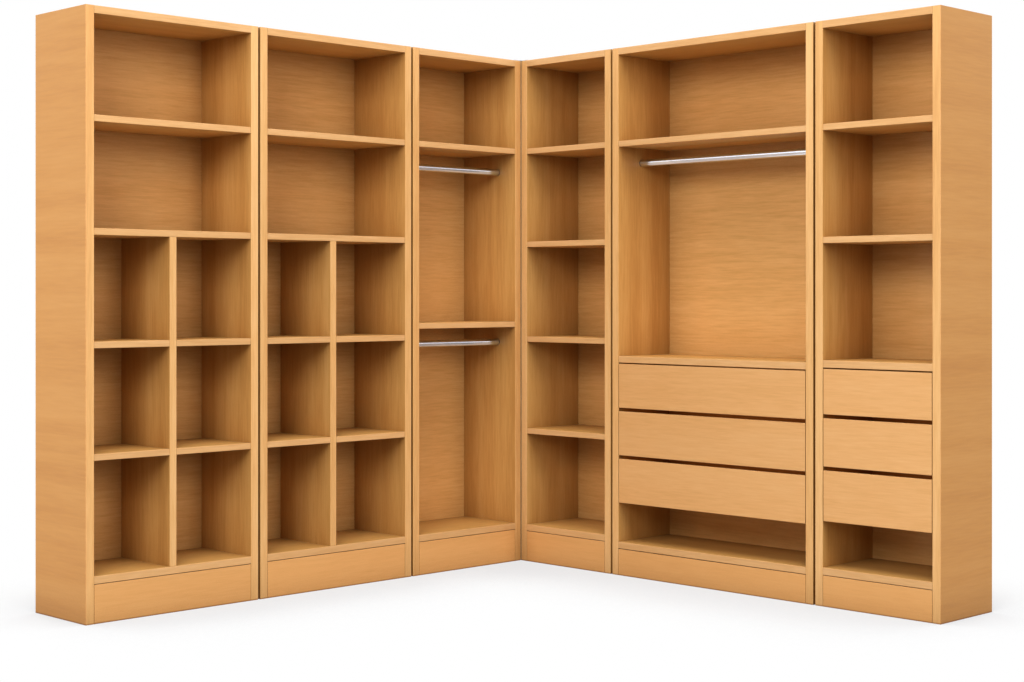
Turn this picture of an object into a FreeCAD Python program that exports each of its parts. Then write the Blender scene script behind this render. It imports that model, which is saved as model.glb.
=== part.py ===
import FreeCAD, Part
import math
import os
from collections import namedtuple
from FreeCAD import Vector

# Open corner wardrobe: two runs of three bays that meet at a right angle in the corner of a room.
# Each bay is drawn in its own frame, in millimetres: u runs left to right along its front,
# v runs from the front plane towards the wall, and z runs up from the floor.

# Outer sizes
HEIGHT = 2200.0
DEPTH = 350.0
BAY_GAP = 10.0
CORNER_REVEAL = 2.0

# Bay widths, over both side panels
OUTER_CUBBY_WIDTH = 750.0
INNER_CUBBY_WIDTH = 770.0
HANGING_WIDTH = 630.0
CORNER_SHELF_WIDTH = 530.0
WIDE_DRAWER_WIDTH = 1020.0
END_DRAWER_WIDTH = 540.0

# Clear width of the left column in each cubby bay
OUTER_CUBBY_LEFT_COLUMN = 317.0
INNER_CUBBY_LEFT_COLUMN = 310.0

# Board thicknesses, and the small chamfer along every front edge
SIDE_THICKNESS = 34.0
TOP_THICKNESS = 28.0
BASE_THICKNESS = 28.0
SHELF_THICKNESS = 24.0
DRAWER_TOP_THICKNESS = 28.0
DIVIDER_THICKNESS = 30.0
BACK_THICKNESS = 6.0
PLINTH_THICKNESS = 18.0
EASED_EDGE = 1.0

# Clear height between the upper shelf and the top board, the same in every bay
TOP_SPACE_HEIGHT = 360.0

# Upper faces of the other horizontal boards, above the floor
CUBBY_BASE_LEVEL = 170.0
CUBBY_LOW_LEVEL = 604.0
CUBBY_HIGH_LEVEL = 1004.0
CUBBY_TOP_LEVEL = 1408.0
HANGING_BASE_LEVEL = 168.0
HANGING_SHELF_LEVEL = 1052.0
CORNER_BASE_LEVEL = 162.0
CORNER_FIRST_LEVEL = 584.0
CORNER_SECOND_LEVEL = 987.0
CORNER_THIRD_LEVEL = 1403.0
WIDE_BASE_LEVEL = 140.0
WIDE_DRAWER_TOP_LEVEL = 915.0
END_BASE_LEVEL = 147.0
END_DRAWER_TOP_LEVEL = 925.0
END_SHELF_LEVEL = 1388.0

# Housed joints: board ends sit in grooves that stop short of the front edge
HOUSING_DEPTH = 6.0
HOUSING_STOP = 12.0
HOUSING_CLEARANCE = 0.2
SHELF_SETBACK = 2.0
BACK_GROOVE_DEPTH = 8.0
BACK_RECESS = 14.0
BACK_CLEARANCE = 0.1

# Plinth boards and the glued blocks behind them
PLINTH_REVEAL = 2.0
PLINTH_SIDE_GAP = 0.8
PLINTH_BLOCK = 40.0
PLINTH_BLOCK_LIFT = 6.0

# Hanging rails: round tube on end plugs of the tube's own diameter
RAIL_DIAMETER = 30.0
RAIL_WALL = 1.5
RAIL_PLUG_FLANGE = 3.0
RAIL_PLUG_SPIGOT = 16.0
RAIL_PLUG_CLEARANCE = 0.1
HANGING_RAIL_DROP = 76.0
HANGING_LOW_RAIL_DROP = 67.0
HANGING_RAIL_SETBACK = 112.0
WIDE_RAIL_DROP = 62.0
WIDE_RAIL_SETBACK = 148.0

# Drawer fronts, from the top drawer down
WIDE_FRONT_HEIGHT = 183.0
END_TOP_FRONT_HEIGHT = 170.0
END_MIDDLE_FRONT_HEIGHT = 181.0
END_BOTTOM_FRONT_HEIGHT = 190.0
TOP_FRONT_GAP = 5.0
FINGER_GAP = 15.0
FRONT_SIDE_GAP = 2.5
FRONT_THICKNESS = 20.0
FINGER_BEVEL = 10.0

# Drawer boxes
DRAWER_BOARD = 14.0
DRAWER_SIDE_HEIGHT = 120.0
DRAWER_RISE = 16.0
DRAWER_BOTTOM = 5.0
DRAWER_BOTTOM_RISE = 10.0
DRAWER_GROOVE = 6.0
DRAWER_REAR_CLEARANCE = 20.0
DRAWER_TRAVEL = 210.0

# Drawer runners: a steel channel on the side panel that captures a smaller one on the drawer
RUNNER_SPACE = 13.0
RUNNER_HEIGHT = 45.0
RUNNER_SHEET = 1.2
RUNNER_REACH = 9.0
RUNNER_LIP = 4.5
RUNNER_RACE = 3.5
RUNNER_CLEARANCE = 0.3
RUNNER_RISE = 50.0
RUNNER_SETBACK = 4.0
RUNNER_STOP_HEIGHT = 16.0
RUNNER_STOP_REACH = 7.0

# What joins the bays to each other: bolts below the base boards, plates on the tops, a corner post
BOLT_DIAMETER = 8.0
BOLT_CLEARANCE = 0.3
BOLT_HEAD_WIDTH = 13.0
BOLT_HEAD_THICKNESS = 5.5
BOLT_HEIGHT = 60.0
BOLT_SETBACK = 175.0
PACKER_WIDTH = 40.0
PACKER_HEIGHT = 50.0
PLATE_THICKNESS = 2.5
PLATE_LENGTH = 90.0
PLATE_WIDTH = 40.0
PLATE_SETBACK = 70.0
CORNER_PLATE_REACH = 110.0
CORNER_POST = 45.0
CORNER_POST_CHAMFER = 9.0

# Angle brackets on the tops that hold the wardrobe to the wall
BRACKET_WIDTH = 60.0
BRACKET_LEG = 40.0
BRACKET_RISE = 30.0
BRACKET_HOLE = 6.0
BRACKET_HOLE_SPACING = 36.0
BRACKET_HOLE_RISE = 18.0

# Faces that several boards share
BACK_REAR = DEPTH - BACK_RECESS
BACK_FACE = BACK_REAR - BACK_THICKNESS
SHELF_REAR = BACK_FACE - BACK_CLEARANCE
TOP_UNDERSIDE = HEIGHT - TOP_THICKNESS
UPPER_SHELF_LEVEL = TOP_UNDERSIDE - TOP_SPACE_HEIGHT
DRAWER_REAR = BACK_FACE - DRAWER_REAR_CLEARANCE
RUNNER_FRONT = FRONT_THICKNESS + RUNNER_SETBACK
TONGUE = HOUSING_DEPTH - HOUSING_CLEARANCE
NEAR = 1e-6

# A shelf is (upper face, thickness), a rail is (axis height, setback), a drawer is (name, front height).
Bay = namedtuple("Bay", "name width base shelves column cubbies rails drawers")
Drawer = namedtuple("Drawer", "name bay low high")


def outer_cubby_bay():
    """The bay at the free end of the left run: two open shelves over six cubbies."""
    shelves = [(CUBBY_TOP_LEVEL, SHELF_THICKNESS), (UPPER_SHELF_LEVEL, SHELF_THICKNESS)]
    cubbies = [CUBBY_LOW_LEVEL, CUBBY_HIGH_LEVEL]
    return Bay("outer_cubby_bay", OUTER_CUBBY_WIDTH, CUBBY_BASE_LEVEL, shelves,
               OUTER_CUBBY_LEFT_COLUMN, cubbies, [], [])


def inner_cubby_bay():
    """The middle bay of the left run, laid out as its neighbour."""
    shelves = [(CUBBY_TOP_LEVEL, SHELF_THICKNESS), (UPPER_SHELF_LEVEL, SHELF_THICKNESS)]
    cubbies = [CUBBY_LOW_LEVEL, CUBBY_HIGH_LEVEL]
    return Bay("inner_cubby_bay", INNER_CUBBY_WIDTH, CUBBY_BASE_LEVEL, shelves,
               INNER_CUBBY_LEFT_COLUMN, cubbies, [], [])


def hanging_bay():
    """The left run's corner bay: two hanging spaces, one above the other."""
    shelves = [(HANGING_SHELF_LEVEL, SHELF_THICKNESS), (UPPER_SHELF_LEVEL, SHELF_THICKNESS)]
    low_rail = HANGING_SHELF_LEVEL - SHELF_THICKNESS - HANGING_LOW_RAIL_DROP
    high_rail = UPPER_SHELF_LEVEL - SHELF_THICKNESS - HANGING_RAIL_DROP
    rails = [(low_rail, HANGING_RAIL_SETBACK), (high_rail, HANGING_RAIL_SETBACK)]
    return Bay("hanging_bay", HANGING_WIDTH, HANGING_BASE_LEVEL, shelves, None, [], rails, [])


def corner_shelf_bay():
    """The right run's corner bay: plain shelves."""
    levels = [CORNER_FIRST_LEVEL, CORNER_SECOND_LEVEL, CORNER_THIRD_LEVEL, UPPER_SHELF_LEVEL]
    shelves = [(level, SHELF_THICKNESS) for level in levels]
    return Bay("corner_shelf_bay", CORNER_SHELF_WIDTH, CORNER_BASE_LEVEL, shelves, None, [], [], [])


def wide_drawer_bay():
    """The wide middle bay of the right run: a hanging space over three drawers."""
    shelves = [(WIDE_DRAWER_TOP_LEVEL, DRAWER_TOP_THICKNESS), (UPPER_SHELF_LEVEL, SHELF_THICKNESS)]
    rails = [(UPPER_SHELF_LEVEL - SHELF_THICKNESS - WIDE_RAIL_DROP, WIDE_RAIL_SETBACK)]
    drawers = [(f"wide_{place}_drawer", WIDE_FRONT_HEIGHT) for place in ("top", "middle", "bottom")]
    return Bay("wide_drawer_bay", WIDE_DRAWER_WIDTH, WIDE_BASE_LEVEL, shelves, None, [], rails, drawers)


def end_drawer_bay():
    """The bay at the free end of the right run: shelves over three drawers."""
    shelves = [(END_DRAWER_TOP_LEVEL, DRAWER_TOP_THICKNESS), (END_SHELF_LEVEL, SHELF_THICKNESS),
               (UPPER_SHELF_LEVEL, SHELF_THICKNESS)]
    drawers = [("end_top_drawer", END_TOP_FRONT_HEIGHT), ("end_middle_drawer", END_MIDDLE_FRONT_HEIGHT),
               ("end_bottom_drawer", END_BOTTOM_FRONT_HEIGHT)]
    return Bay("end_drawer_bay", END_DRAWER_WIDTH, END_BASE_LEVEL, shelves, None, [], [], drawers)


LEFT_RUN = [outer_cubby_bay(), inner_cubby_bay(), hanging_bay()]
RIGHT_RUN = [corner_shelf_bay(), wide_drawer_bay(), end_drawer_bay()]


def run_length(run):
    """Length of a run along its front, from its free end to the corner reveal."""
    return sum(bay.width for bay in run) + BAY_GAP * (len(run) - 1)


LEFT_START = -CORNER_REVEAL - run_length(LEFT_RUN)
RIGHT_START = CORNER_REVEAL
CENTRE_X = (RIGHT_START + run_length(RIGHT_RUN) - DEPTH) / 2
CENTRE_Y = (LEFT_START + DEPTH) / 2


# Basic forms

def block(u0, u1, v0, v1, z0, z1):
    """Rectangular block between two corners, given in any order."""
    low = Vector(min(u0, u1), min(v0, v1), min(z0, z1))
    return Part.makeBox(abs(u1 - u0), abs(v1 - v0), abs(z1 - z0), low)


def prism(points, direction):
    """Closed outline of points pushed along a direction."""
    return Part.Face(Part.makePolygon(points + points[:1])).extrude(direction)


def turned(profile, u, v, z):
    """Outline of (along, radius) points turned about the line through (u, v, z) parallel to u."""
    points = [Vector(u + along, v, z + radius) for along, radius in profile]
    face = Part.Face(Part.makePolygon(points + points[:1]))
    return face.revolve(Vector(u, v, z), Vector(1, 0, 0), 360)


def eased(board, direction):
    """Board with a small chamfer on each front edge that runs along the given direction."""
    front = board.BoundBox.YMin
    edges = []
    for edge in board.Edges:
        on_front = all(abs(vertex.Y - front) < NEAR for vertex in edge.Vertexes)
        along = (edge.Vertexes[-1].Point - edge.Vertexes[0].Point).normalize()
        if on_front and abs(along.dot(direction)) > 1 - NEAR:
            edges.append(edge)
    return board.makeChamfer(EASED_EDGE, edges)


def housed_board(u0, u1, v0, v1, z0, z1):
    """Horizontal board between faces u0 and u1, with tongues at both ends that stop short of its front."""
    board = eased(block(u0 - TONGUE, u1 + TONGUE, v0, v1, z0, z1), Vector(1, 0, 0))
    shoulder = HOUSING_STOP + HOUSING_CLEARANCE
    notches = [block(u0 - TONGUE, u0, v0, shoulder, z0, z1), block(u1, u1 + TONGUE, v0, shoulder, z0, z1)]
    return board.cut(notches)


# Carcass boards of one bay

def inner_faces(bay):
    """The facing inner faces of the two side panels."""
    return SIDE_THICKNESS, bay.width - SIDE_THICKNESS


def divider_faces(bay):
    """Left and right faces of a cubby bay's divider."""
    left = SIDE_THICKNESS + bay.column
    return left, left + DIVIDER_THICKNESS


def housed_levels(bay):
    """Lower and upper face of every board that both side panels carry."""
    boards = [(bay.base - BASE_THICKNESS, bay.base)]
    boards += [(level - thickness, level) for level, thickness in bay.shelves]
    boards += [(level - SHELF_THICKNESS, level) for level in bay.cubbies]
    return boards


def side_panel(bay, outer, inner, bolted):
    """Side panel with a housing for each board, the back's groove and any bolt hole."""
    outward = 1 if outer > inner else -1
    cuts = []
    for low, high in housed_levels(bay):
        rear = DEPTH if high == bay.base else SHELF_REAR
        cuts.append(block(inner, inner + outward * HOUSING_DEPTH, HOUSING_STOP, rear, low, high))
    cuts.append(block(inner, inner + outward * HOUSING_DEPTH, HOUSING_STOP, DEPTH, TOP_UNDERSIDE, HEIGHT))
    cuts.append(block(inner, inner + outward * BACK_GROOVE_DEPTH, BACK_FACE - BACK_CLEARANCE,
                      BACK_REAR + BACK_CLEARANCE, bay.base - HOUSING_DEPTH, TOP_UNDERSIDE + HOUSING_DEPTH))
    if bolted:
        cuts.append(bolt_hole(outer, inner))
    panel = eased(block(outer, inner, 0, DEPTH, 0, HEIGHT), Vector(0, 0, 1))
    return panel.cut(cuts)


def bolt_hole(outer, inner):
    """Clearance hole for a joining bolt through a side panel."""
    radius = BOLT_DIAMETER / 2 + BOLT_CLEARANCE
    start = Vector(min(outer, inner), BOLT_SETBACK, BOLT_HEIGHT)
    return Part.makeCylinder(radius, abs(outer - inner), start, Vector(1, 0, 0))


def back_slot(bay, z0, z1):
    """The groove for the back panel across a top or base board."""
    left, right = inner_faces(bay)
    return block(left - TONGUE, right + TONGUE, BACK_FACE - BACK_CLEARANCE, BACK_REAR + BACK_CLEARANCE, z0, z1)


def top_board(bay):
    """Top board, flush with the upper ends of the side panels."""
    left, right = inner_faces(bay)
    board = housed_board(left, right, 0, DEPTH, TOP_UNDERSIDE, HEIGHT)
    return board.cut(back_slot(bay, TOP_UNDERSIDE, TOP_UNDERSIDE + HOUSING_DEPTH))


def base_board(bay):
    """Base board, with a housing for the divider where the bay has one."""
    left, right = inner_faces(bay)
    board = housed_board(left, right, 0, DEPTH, bay.base - BASE_THICKNESS, bay.base)
    cuts = [back_slot(bay, bay.base - HOUSING_DEPTH, bay.base)]
    if bay.column:
        cuts.append(divider_housing(bay, bay.base - HOUSING_DEPTH, bay.base))
    return board.cut(cuts)


def divider_housing(bay, z0, z1):
    """The stopped groove that takes one end of the divider."""
    left, right = divider_faces(bay)
    return block(left, right, HOUSING_STOP, SHELF_REAR, z0, z1)


def back_panel(bay):
    """Thin back, held in grooves on all four sides."""
    left, right = inner_faces(bay)
    reach = BACK_GROOVE_DEPTH - HOUSING_CLEARANCE
    return block(left - reach, right + reach, BACK_FACE, BACK_REAR, bay.base - TONGUE, TOP_UNDERSIDE + TONGUE)


def plinth_top(bay):
    """Upper edge of the plinth, a small reveal below the base board."""
    return bay.base - BASE_THICKNESS - PLINTH_REVEAL


def plinth_board(bay):
    """Plinth between the side panels, flush with their front edges."""
    left, right = inner_faces(bay)
    board = block(left + PLINTH_SIDE_GAP, right - PLINTH_SIDE_GAP, 0, PLINTH_THICKNESS, 0, plinth_top(bay))
    return eased(board, Vector(1, 0, 0))


def plinth_blocks(bay):
    """Glued blocks that tie the plinth to the side panels and the base board."""
    left, right = inner_faces(bay)
    rear = PLINTH_THICKNESS + PLINTH_BLOCK
    top = bay.base - BASE_THICKNESS
    return [block(left, left + PLINTH_BLOCK, PLINTH_THICKNESS, rear, PLINTH_BLOCK_LIFT, top),
            block(right - PLINTH_BLOCK, right, PLINTH_THICKNESS, rear, PLINTH_BLOCK_LIFT, top)]


# Fittings of one bay

def shelf_boards(bay):
    """Full-width shelves. The lowest one of a cubby bay takes the top of the divider."""
    left, right = inner_faces(bay)
    boards = []
    for level, thickness in bay.shelves:
        boards.append(housed_board(left, right, SHELF_SETBACK, SHELF_REAR, level - thickness, level))
    if bay.column:
        level, thickness = bay.shelves[0]
        under = level - thickness
        boards[0] = boards[0].cut(divider_housing(bay, under, under + HOUSING_DEPTH))
    return boards


def divider(bay):
    """Upright between the base and the lowest shelf, with housings for the cubby shelves on both faces."""
    left, right = divider_faces(bay)
    level, thickness = bay.shelves[0]
    low, high = bay.base, level - thickness
    board = block(left, right, SHELF_SETBACK, SHELF_REAR, low - TONGUE, high + TONGUE)
    board = eased(board, Vector(0, 0, 1))
    shoulder = HOUSING_STOP + HOUSING_CLEARANCE
    cuts = [block(left, right, SHELF_SETBACK, shoulder, low - TONGUE, low),
            block(left, right, SHELF_SETBACK, shoulder, high, high + TONGUE)]
    for upper in bay.cubbies:
        under = upper - SHELF_THICKNESS
        cuts.append(block(left, left + HOUSING_DEPTH, HOUSING_STOP, SHELF_REAR, under, upper))
        cuts.append(block(right - HOUSING_DEPTH, right, HOUSING_STOP, SHELF_REAR, under, upper))
    return board.cut(cuts)


def cubby_shelves(bay):
    """Short shelves on each side of the divider."""
    left, right = inner_faces(bay)
    mid_left, mid_right = divider_faces(bay)
    boards = []
    for level in bay.cubbies:
        for u0, u1 in ((left, mid_left), (mid_right, right)):
            boards.append(housed_board(u0, u1, SHELF_SETBACK, SHELF_REAR, level - SHELF_THICKNESS, level))
    return boards


def rail_tube(bay, height, setback):
    """Hanging rail between its two end plugs."""
    left, right = inner_faces(bay)
    start = left + RAIL_PLUG_FLANGE
    length = right - RAIL_PLUG_FLANGE - start
    radius = RAIL_DIAMETER / 2
    outline = [(0, radius - RAIL_WALL), (0, radius), (length, radius), (length, radius - RAIL_WALL)]
    return turned(outline, start, setback, height)


def rail_plugs(bay, height, setback):
    """End plugs: a flange on the side panel and a spigot inside the tube."""
    left, right = inner_faces(bay)
    spigot = RAIL_DIAMETER / 2 - RAIL_WALL - RAIL_PLUG_CLEARANCE
    reach = RAIL_PLUG_FLANGE + RAIL_PLUG_SPIGOT
    outline = [(0, 0), (0, RAIL_DIAMETER / 2), (RAIL_PLUG_FLANGE, RAIL_DIAMETER / 2),
               (RAIL_PLUG_FLANGE, spigot), (reach, spigot), (reach, 0)]
    mirrored = [(-along, radius) for along, radius in outline]
    return [turned(outline, left, setback, height), turned(mirrored, right, setback, height)]


# Drawers

def drawer_stack(bay):
    """The bay's drawers, each with the lower and upper edge of its front."""
    stack = []
    if bay.drawers:
        level, thickness = bay.shelves[0]
        high = level - thickness - TOP_FRONT_GAP
        for name, front_height in bay.drawers:
            stack.append(Drawer(name, bay, high - front_height, high))
            high -= front_height + FINGER_GAP
    return stack


def box_faces(drawer):
    """Outer faces of the drawer box, clear of the runners."""
    left, right = inner_faces(drawer.bay)
    return left + RUNNER_SPACE, right - RUNNER_SPACE


def box_levels(drawer):
    """Lower edge of the drawer sides, lower and upper face of the bottom, and upper edge of the sides."""
    low = drawer.low + DRAWER_RISE
    bottom = low + DRAWER_BOTTOM_RISE
    return low, bottom, bottom + DRAWER_BOTTOM, low + DRAWER_SIDE_HEIGHT


def drawer_front(drawer):
    """Inset front with eased edges, a finger bevel behind its top edge and a groove for the bottom."""
    left, right = inner_faces(drawer.bay)
    front = block(left + FRONT_SIDE_GAP, right - FRONT_SIDE_GAP, 0, FRONT_THICKNESS, drawer.low, drawer.high)
    front = eased(front, Vector(1, 0, 0))
    grip = [(FRONT_THICKNESS, drawer.high), (FRONT_THICKNESS, drawer.high - FINGER_BEVEL),
            (FRONT_THICKNESS - FINGER_BEVEL, drawer.high)]
    bevel = prism([Vector(left, v, z) for v, z in grip], Vector(right - left, 0, 0))
    box_left, box_right = box_faces(drawer)
    low, bottom, bottom_top, high = box_levels(drawer)
    inset = DRAWER_BOARD - DRAWER_GROOVE
    groove = block(box_left + inset, box_right - inset, FRONT_THICKNESS - DRAWER_GROOVE, FRONT_THICKNESS,
                   bottom, bottom_top)
    return front.cut([bevel, groove])


def drawer_box(drawer):
    """Two grooved sides, a back that stands on the bottom, and the bottom itself."""
    left, right = box_faces(drawer)
    low, bottom, bottom_top, high = box_levels(drawer)
    left_groove = left + DRAWER_BOARD - DRAWER_GROOVE
    right_groove = right - DRAWER_BOARD + DRAWER_GROOVE
    sides = []
    for outer, inner, groove in ((left, left + DRAWER_BOARD, left_groove),
                                 (right, right - DRAWER_BOARD, right_groove)):
        side = block(outer, inner, FRONT_THICKNESS, DRAWER_REAR, low, high)
        sides.append(side.cut(block(groove, inner, FRONT_THICKNESS, DRAWER_REAR, bottom, bottom_top)))
    back = block(left + DRAWER_BOARD, right - DRAWER_BOARD, DRAWER_REAR - DRAWER_BOARD, DRAWER_REAR,
                 bottom_top, high)
    panel = block(left_groove + HOUSING_CLEARANCE, right_groove - HOUSING_CLEARANCE,
                  FRONT_THICKNESS - DRAWER_GROOVE + HOUSING_CLEARANCE, DRAWER_REAR, bottom, bottom_top)
    return sides + [back, panel]


def runner_axis(drawer):
    """Height of the middle of the drawer's runners."""
    return drawer.low + DRAWER_RISE + RUNNER_RISE


def runner_section(half, face, towards, height, start, length):
    """Section given as its upper half, mirrored about its middle, placed on a side panel and drawn back."""
    outline = half + [(reach, -rise) for reach, rise in reversed(half)]
    points = [Vector(face + towards * reach, start, height + rise) for reach, rise in outline]
    return prism(points, Vector(0, length, 0))


def channel_half():
    """Upper half of the channel that is fixed to the side panel."""
    top = RUNNER_HEIGHT / 2
    lip = top - RUNNER_LIP
    return [(0, top), (RUNNER_REACH, top), (RUNNER_REACH, lip), (RUNNER_REACH - RUNNER_SHEET, lip),
            (RUNNER_REACH - RUNNER_SHEET, top - RUNNER_SHEET), (RUNNER_SHEET, top - RUNNER_SHEET)]


def slider_half():
    """Upper half of the section on the drawer: its rolled edge runs behind the channel's lip."""
    race_top = RUNNER_HEIGHT / 2 - RUNNER_SHEET - RUNNER_CLEARANCE
    flange = RUNNER_HEIGHT / 2 - RUNNER_LIP - RUNNER_CLEARANCE
    race_front = RUNNER_REACH - RUNNER_SHEET - RUNNER_CLEARANCE
    race_rear = race_front - RUNNER_RACE
    return [(RUNNER_SPACE, flange), (race_front, flange), (race_front, race_top), (race_rear, race_top),
            (race_rear, flange - RUNNER_SHEET), (RUNNER_SPACE - RUNNER_SHEET, flange - RUNNER_SHEET)]


def stop_tab(face, towards, low_reach, high_reach, height, front):
    """Bent tab of sheet steel across the middle of a runner."""
    half = RUNNER_STOP_HEIGHT / 2
    return block(face + towards * low_reach, face + towards * high_reach, front, front + RUNNER_SHEET,
                 height - half, height + half)


def runner_channels(drawer):
    """The two fixed channels. The slider's tab meets one stop when shut and the other at full travel."""
    height = runner_axis(drawer)
    shut_stop = DRAWER_REAR + RUNNER_CLEARANCE
    open_stop = DRAWER_REAR - DRAWER_TRAVEL - RUNNER_CLEARANCE - 2 * RUNNER_SHEET
    length = shut_stop + RUNNER_SHEET - RUNNER_FRONT
    channels = []
    for face, towards in zip(inner_faces(drawer.bay), (1, -1)):
        channel = runner_section(channel_half(), face, towards, height, RUNNER_FRONT, length)
        tabs = [stop_tab(face, towards, 0, RUNNER_STOP_REACH, height, stop) for stop in (shut_stop, open_stop)]
        channels.append(channel.fuse(tabs).removeSplitter())
    return channels


def runner_sliders(drawer):
    """The two sections on the drawer's sides, each with a tab across its rear end."""
    height = runner_axis(drawer)
    length = DRAWER_REAR - RUNNER_FRONT
    sliders = []
    for face, towards in zip(inner_faces(drawer.bay), (1, -1)):
        slider = runner_section(slider_half(), face, towards, height, RUNNER_FRONT, length)
        tab = stop_tab(face, towards, RUNNER_SHEET + RUNNER_CLEARANCE, RUNNER_SPACE, height,
                       DRAWER_REAR - RUNNER_SHEET)
        sliders.append(slider.fuse(tab).removeSplitter())
    return sliders


# What joins neighbouring bays, at the given seam between two side panels

def hexagon(along, v, z):
    """Outline of a bolt head or nut, square to u."""
    corner = BOLT_HEAD_WIDTH / math.sqrt(3)
    angles = [math.radians(60 * place) for place in range(6)]
    return [Vector(along, v + corner * math.sin(angle), z + corner * math.cos(angle)) for angle in angles]


def joining_bolt(seam):
    """Bolt, cap nut and horseshoe packer through the two side panels at a seam, below the base boards."""
    start = seam - BAY_GAP / 2 - SIDE_THICKNESS
    grip = BAY_GAP + 2 * SIDE_THICKNESS
    depth = Vector(BOLT_HEAD_THICKNESS, 0, 0)
    head = prism(hexagon(start - BOLT_HEAD_THICKNESS, BOLT_SETBACK, BOLT_HEIGHT), depth)
    axis_point = Vector(start, BOLT_SETBACK, BOLT_HEIGHT)
    shank = Part.makeCylinder(BOLT_DIAMETER / 2, grip, axis_point, Vector(1, 0, 0))
    nut = prism(hexagon(start + grip, BOLT_SETBACK, BOLT_HEIGHT), depth)
    return [head.fuse(shank), nut, packer(seam)]


def packer(seam):
    """Horseshoe packer that keeps the gap between two side panels, slid over the bolt from above."""
    half = PACKER_WIDTH / 2
    slot = BOLT_DIAMETER / 2 + BOLT_CLEARANCE
    low, high = BOLT_HEIGHT - PACKER_HEIGHT / 2, BOLT_HEIGHT + PACKER_HEIGHT / 2
    floor = BOLT_HEIGHT + slot
    outline = [(-half, high), (half, high), (half, low), (slot, low), (slot, floor), (-slot, floor),
               (-slot, low), (-half, low)]
    points = [Vector(seam - BAY_GAP / 2, BOLT_SETBACK + v, z) for v, z in outline]
    return prism(points, Vector(BAY_GAP, 0, 0))


def joining_plates(seam):
    """Two flat steel plates across the tops of neighbouring bays, one near the front and one near the wall."""
    half_length, half_width = PLATE_LENGTH / 2, PLATE_WIDTH / 2
    return [block(seam - half_length, seam + half_length, middle - half_width, middle + half_width,
                  HEIGHT, HEIGHT + PLATE_THICKNESS) for middle in (PLATE_SETBACK, DEPTH - PLATE_SETBACK)]


def wall_bracket(bay):
    """Steel angle on the top board, flush with the wall plane, with two holes towards the wall."""
    start = (bay.width - BRACKET_WIDTH) / 2
    toe, face = DEPTH - BRACKET_LEG, DEPTH - PLATE_THICKNESS
    leg_top, rise_top = HEIGHT + PLATE_THICKNESS, HEIGHT + BRACKET_RISE
    outline = [(toe, HEIGHT), (DEPTH, HEIGHT), (DEPTH, rise_top), (face, rise_top), (face, leg_top),
               (toe, leg_top)]
    angle = prism([Vector(start, v, z) for v, z in outline], Vector(BRACKET_WIDTH, 0, 0))
    offsets = (bay.width / 2 - BRACKET_HOLE_SPACING / 2, bay.width / 2 + BRACKET_HOLE_SPACING / 2)
    height = HEIGHT + BRACKET_HOLE_RISE
    wall_holes = [Part.makeCylinder(BRACKET_HOLE / 2, PLATE_THICKNESS, Vector(u, face, height), Vector(0, 1, 0))
                  for u in offsets]
    return angle.cut(wall_holes)


# The inner corner, in plan about the point where the two front planes cross

def corner_post():
    """Square post behind the inner corner, between the two runs' end panels."""
    near, far = CORNER_REVEAL, CORNER_REVEAL - CORNER_POST
    cut = CORNER_POST_CHAMFER
    outline = [(near, -near + cut), (near, -far), (far, -far), (far, -near), (near - cut, -near)]
    return prism([Vector(x, y, 0) for x, y in outline], Vector(0, 0, HEIGHT))


def corner_plate():
    """Bent flat plate on the tops that ties the two runs together behind the inner corner."""
    near = CORNER_REVEAL + SIDE_THICKNESS
    far = CORNER_PLATE_REACH
    outline = [(-far, -near), (-CORNER_REVEAL, -near), (-CORNER_REVEAL, CORNER_REVEAL), (near, CORNER_REVEAL),
               (near, far), (-far, far)]
    return prism([Vector(x, y, HEIGHT) for x, y in outline], Vector(0, 0, PLATE_THICKNESS))


# Assembly

nodes = {}


def put(node, shapes, placement):
    """Adds each solid of the shapes to a node, moved from its own frame into the wardrobe's."""
    matrix = placement.toMatrix()
    for shape in shapes:
        for solid in shape.Solids:
            nodes.setdefault(node, []).append(solid.transformed(matrix, copy=True))


def run_placement(left, start):
    """Where a bay's own frame lies: the left run faces +X and the right run faces -Y."""
    if left:
        return FreeCAD.Placement(Vector(-CENTRE_X, start - CENTRE_Y, 0), FreeCAD.Rotation(Vector(0, 0, 1), 90))
    return FreeCAD.Placement(Vector(start - CENTRE_X, -CENTRE_Y, 0), FreeCAD.Rotation())


def put_bay(bay, run, placement, bolted_left, bolted_right):
    """Adds every board and fitting of one bay."""
    name = bay.name
    left, right = inner_faces(bay)
    sides = [side_panel(bay, 0, left, bolted_left), side_panel(bay, bay.width, right, bolted_right)]
    put(f"{name}_side_panels", sides, placement)
    put(f"{name}_top", [top_board(bay)], placement)
    put(f"{name}_base", [base_board(bay)], placement)
    put(f"{name}_shelves", shelf_boards(bay), placement)
    put(f"{run}_run_back_panels", [back_panel(bay)], placement)
    put(f"{run}_run_plinths", [plinth_board(bay)], placement)
    put("plinth_blocks", plinth_blocks(bay), placement)
    put("wall_brackets", [wall_bracket(bay)], placement)
    if bay.column:
        put(f"{name}_divider", [divider(bay)], placement)
        put(f"{name}_cubby_shelves", cubby_shelves(bay), placement)
    for height, setback in bay.rails:
        put(f"{name}_rails", [rail_tube(bay, height, setback)], placement)
        put("rail_end_plugs", rail_plugs(bay, height, setback), placement)
    for drawer in drawer_stack(bay):
        put(f"{drawer.name}_front", [drawer_front(drawer)], placement)
        put(f"{drawer.name}_box", drawer_box(drawer), placement)
        put(f"{drawer.name}_sliders", runner_sliders(drawer), placement)
        put("drawer_runner_channels", runner_channels(drawer), placement)


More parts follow.
